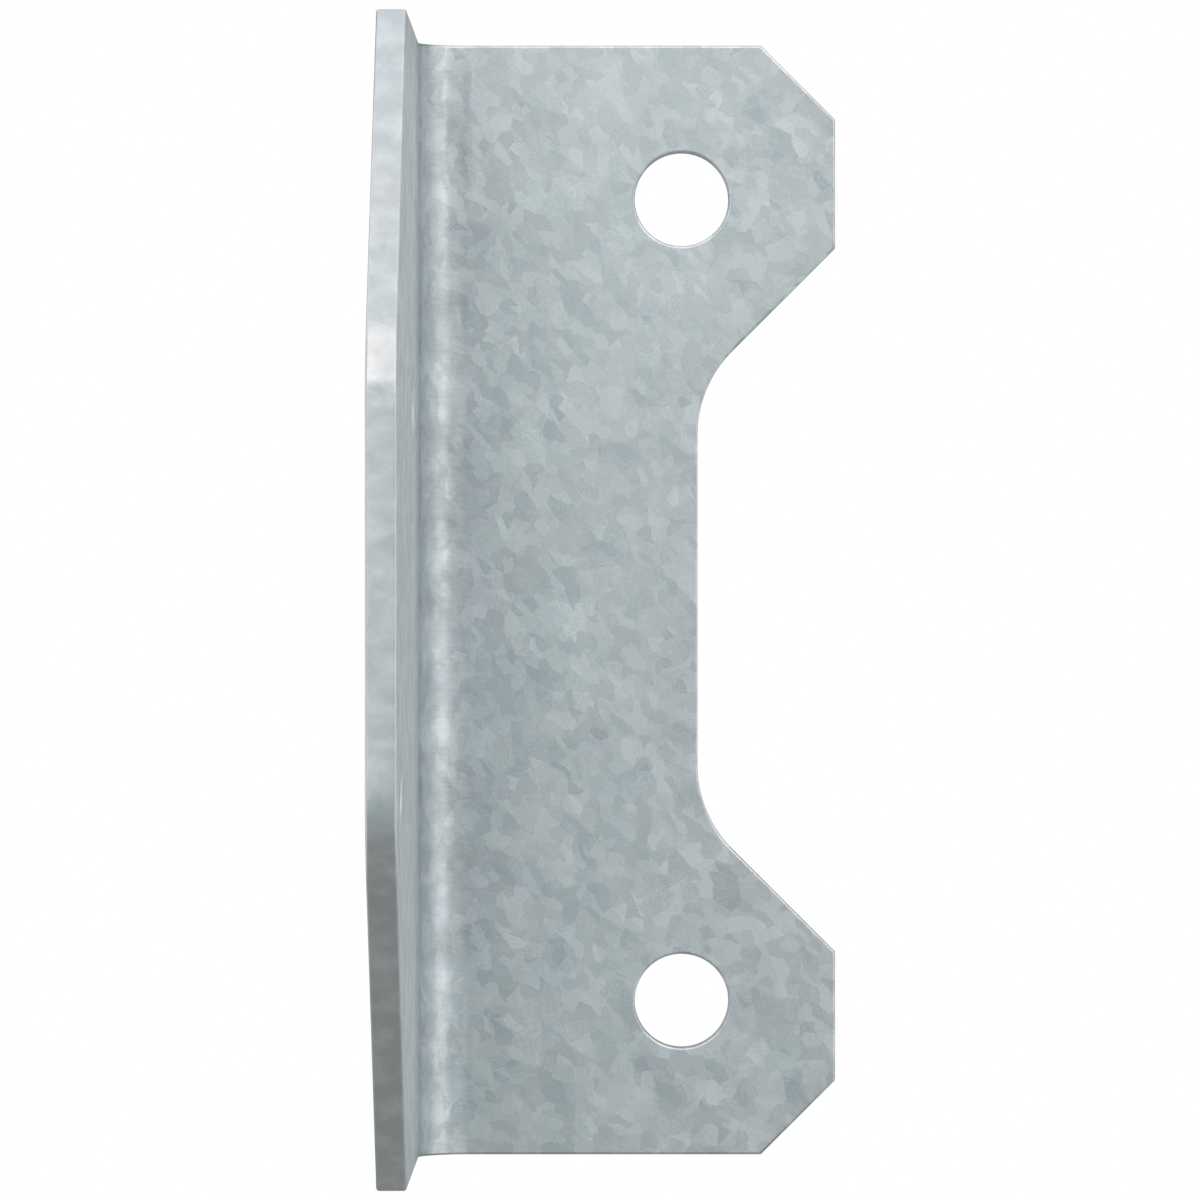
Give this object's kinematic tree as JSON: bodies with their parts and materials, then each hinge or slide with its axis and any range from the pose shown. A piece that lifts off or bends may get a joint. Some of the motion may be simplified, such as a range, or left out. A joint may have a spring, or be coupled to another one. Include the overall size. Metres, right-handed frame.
{
  "type": "steel stud clip",
  "caption": "Folded sheet-steel angle clip that fixes a steel stud to a floor or beam: a notched anchor leg with anchor holes and a tapered stud leg with screw holes.",
  "frame": {"origin": "midway between the two anchor holes, on the anchor leg's underside", "axes": "+Z out of the anchor leg's upper face and up the stud leg, +Y along the fold, +X from the fold to the anchor leg's free edge"},
  "size_m": [0.0413, 0.1032, 0.0808],
  "materials": {
    "galvanised_steel": "satin"
  },
  "bodies": {
    "root": {"stud_clip": "galvanised_steel"}
  },
  "joints": []
}
